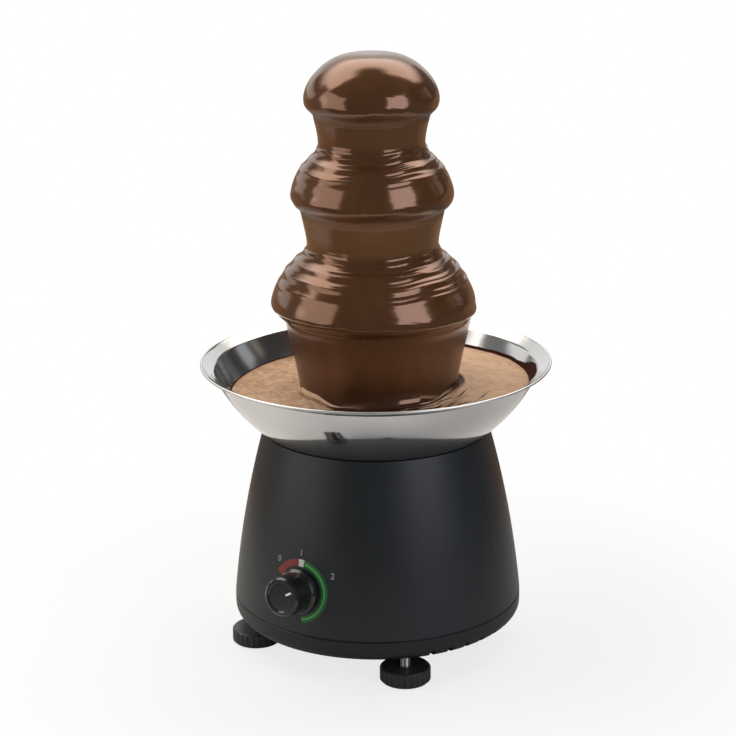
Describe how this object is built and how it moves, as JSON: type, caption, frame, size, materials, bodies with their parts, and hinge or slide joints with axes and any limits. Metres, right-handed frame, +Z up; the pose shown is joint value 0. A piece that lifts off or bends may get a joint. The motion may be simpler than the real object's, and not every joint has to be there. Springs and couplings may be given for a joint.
{
  "type": "chocolate fountain",
  "caption": "Table-top fountain: a flared steel bowl on a dark rounded housing with a front knob, and a tiered tower over which an auger pumps liquid chocolate.",
  "frame": {"origin": "on the table, under the middle of the tower's axis", "axes": "+Z up along the tower; the knob faces -Y"},
  "size_m": [0.21, 0.21, 0.358],
  "materials": {
    "housing_plastic": "fine satin grain",
    "tray_plastic": "fine satin grain",
    "screw_steel": "zinc plated",
    "insert_brass": "turned",
    "stud_steel": "zinc plated thread",
    "foot_plastic": "moulded",
    "gland_rubber": "moulded",
    "gland_plastic": "moulded",
    "knob_plastic": "gloss",
    "pointer_white": "printed white",
    "shaft_steel": "ground",
    "switch_plastic": "moulded",
    "can_steel": "pressed",
    "coil_copper": "enamelled wire",
    "rotor_magnet": "sintered",
    "gear_brass": "hobbed",
    "gear_plastic": "moulded",
    "case_alloy": "die cast",
    "bracket_steel": "pressed",
    "heater_alloy": "rolled",
    "element_steel": "sheathed element",
    "ceramic": "glazed",
    "block_plastic": "moulded",
    "bowl_steel": "mirror polished",
    "hub_steel": "turned",
    "seal_rubber": "moulded",
    "tower_steel": "polished",
    "auger_plastic": "food-grade moulding",
    "chocolate": "wet gloss",
    "chocolate_foam": "wet gloss"
  },
  "bodies": {
    "base": {"housing": "housing_plastic", "base_tray": "tray_plastic", "tray_screws": "screw_steel", "foot_inserts": "insert_brass", "cord_gland": "gland_rubber", "gland_nut": "gland_plastic", "switch_body": "switch_plastic", "switch_nut": "screw_steel", "motor_can": "can_steel", "pole_ring": "can_steel", "motor_coil": "coil_copper", "gear_plate": "can_steel", "gearbox_case": "case_alloy", "idler_pin": "shaft_steel", "output_bush": "gear_brass", "motor_bracket": "bracket_steel", "bracket_screws": "screw_steel", "standoffs": "screw_steel", "standoff_screws": "screw_steel", "case_screws": "screw_steel", "heater_plate": "heater_alloy", "heating_element": "element_steel", "thermostat": "ceramic", "thermal_fuse": "ceramic", "terminal_block": "block_plastic", "bowl": "bowl_steel", "bowl_hub": "hub_steel", "hub_nut": "insert_brass", "shaft_seal": "seal_rubber", "tower_locator": "hub_steel", "tower_tube": "tower_steel", "lower_tier": "tower_steel", "upper_tier": "tower_steel", "crown": "tower_steel", "chocolate_crown": "chocolate", "chocolate_upper": "chocolate", "chocolate_lower": "chocolate", "chocolate_pool": "chocolate_foam"},
    "auger": {"auger": "auger_plastic", "drive_dog": "hub_steel", "output_shaft": "shaft_steel", "output_gear": "gear_brass"},
    "idler": {"idler_gear": "gear_plastic"},
    "rotor": {"rotor": "rotor_magnet", "pinion": "gear_brass"},
    "knob": {"knob": "knob_plastic", "knob_pointer": "pointer_white", "switch_shaft": "shaft_steel"},
    "left_stud": {"left_stud": "stud_steel"},
    "left_pad": {"left_pad": "foot_plastic"},
    "right_stud": {"right_stud": "stud_steel"},
    "right_pad": {"right_pad": "foot_plastic"},
    "rear_stud": {"rear_stud": "stud_steel"},
    "rear_pad": {"rear_pad": "foot_plastic"}
  },
  "joints": [
    {"name": "auger_spin", "type": "hinge", "parent": "base", "child": "auger", "pos_m": [0, 0, 0.1], "axis": [0, 0, 1], "continuous": true},
    {"name": "idler_spin", "type": "hinge", "parent": "base", "child": "idler", "pos_m": [0.0192, 0, 0.08], "axis": [0, 0, 1], "continuous": true},
    {"name": "rotor_spin", "type": "hinge", "parent": "base", "child": "rotor", "pos_m": [0, 0, 0.05], "axis": [0, 0, 1], "continuous": true},
    {"name": "knob_turn", "type": "hinge", "parent": "base", "child": "knob", "pos_m": [0, -0.08453, 0.055], "axis": [0, -0.9902, 0.1397], "range_deg": [-120, 105]},
    {"name": "left_foot_travel", "type": "slide", "parent": "base", "child": "left_pad", "axis": [0, 0, 1], "range_m": [-0.005, 0.005]},
    {"name": "left_stud_turn", "type": "hinge", "parent": "left_pad", "child": "left_stud", "pos_m": [-0.05374, -0.05374, 0.02], "axis": [0, 0, 1], "range_deg": [-1810, 1810]},
    {"name": "right_foot_travel", "type": "slide", "parent": "base", "child": "right_pad", "axis": [0, 0, 1], "range_m": [-0.005, 0.005]},
    {"name": "right_stud_turn", "type": "hinge", "parent": "right_pad", "child": "right_stud", "pos_m": [0.05374, -0.05374, 0.02], "axis": [0, 0, 1], "range_deg": [-1810, 1810]},
    {"name": "rear_foot_travel", "type": "slide", "parent": "base", "child": "rear_pad", "axis": [0, 0, 1], "range_m": [-0.005, 0.005]},
    {"name": "rear_stud_turn", "type": "hinge", "parent": "rear_pad", "child": "rear_stud", "pos_m": [0, 0.076, 0.02], "axis": [0, 0, 1], "range_deg": [-1810, 1810]}
  ],
  "couplings": [
    {"joint": "idler_spin", "follows": "auger_spin", "ratio": -3},
    {"joint": "rotor_spin", "follows": "auger_spin", "ratio": 9},
    {"joint": "left_stud_turn", "follows": "left_foot_travel", "rad_per_m": 6283.2},
    {"joint": "right_stud_turn", "follows": "right_foot_travel", "rad_per_m": 6283.2},
    {"joint": "rear_stud_turn", "follows": "rear_foot_travel", "rad_per_m": 6283.2}
  ]
}
